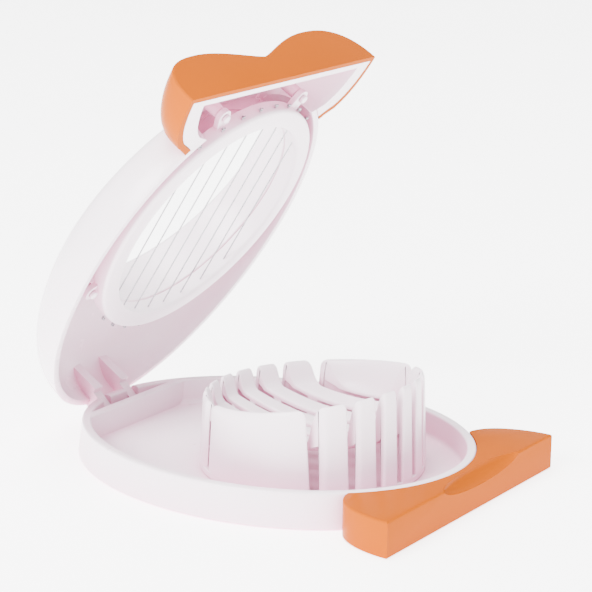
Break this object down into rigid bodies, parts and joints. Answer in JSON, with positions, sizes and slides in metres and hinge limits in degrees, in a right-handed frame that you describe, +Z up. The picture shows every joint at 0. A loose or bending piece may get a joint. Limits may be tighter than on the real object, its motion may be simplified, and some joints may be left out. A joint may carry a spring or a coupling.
{
  "type": "egg slicer",
  "caption": "Hinged egg slicer: an oval tray with a slotted egg cradle, and a domed lid that carries a ring of taut cutting wires and a lobed thumb lip.",
  "frame": {"origin": "on the table under the tray, in the plane of symmetry, about 4 mm in front of the oval tray's centre", "axes": "+Z up, -Y towards the orange lips, +Y towards the hinge, X along the hinge pin; the lid stands open at rest"},
  "size_m": [0.1006, 0.1411, 0.1248],
  "materials": {
    "tray_plastic": "white moulded plastic, semi-gloss",
    "cradle_plastic": "white moulded plastic, semi-gloss",
    "lower_lip_plastic": "orange moulded plastic, glossy",
    "pin_steel": "plain drawn steel",
    "lid_plastic": "white moulded plastic, glossy",
    "upper_lip_plastic": "orange moulded plastic, glossy",
    "ring_plastic": "white moulded plastic, semi-gloss",
    "peg_plastic": "white moulded plastic, semi-gloss",
    "wire_steel": "drawn stainless steel wire"
  },
  "bodies": {
    "base": {"base_tray": "tray_plastic", "egg_cradle": "cradle_plastic", "lower_lip": "lower_lip_plastic", "hinge_pin": "pin_steel"},
    "lid": {"lid_shell": "lid_plastic", "upper_lip": "upper_lip_plastic", "cutting_ring": "ring_plastic", "ring_peg_1": "peg_plastic", "ring_peg_2": "peg_plastic", "ring_peg_3": "peg_plastic", "ring_peg_4": "peg_plastic", "slicing_wire_1": "wire_steel", "slicing_wire_2": "wire_steel", "slicing_wire_3": "wire_steel", "slicing_wire_4": "wire_steel", "slicing_wire_5": "wire_steel", "slicing_wire_6": "wire_steel", "slicing_wire_7": "wire_steel", "slicing_wire_8": "wire_steel"}
  },
  "joints": [
    {"name": "lid_hinge", "type": "hinge", "parent": "base", "child": "lid", "pos_m": [0, 0.0656, 0.0052], "axis": [-1, 0, 0], "range_deg": [-57.75, 37]}
  ]
}
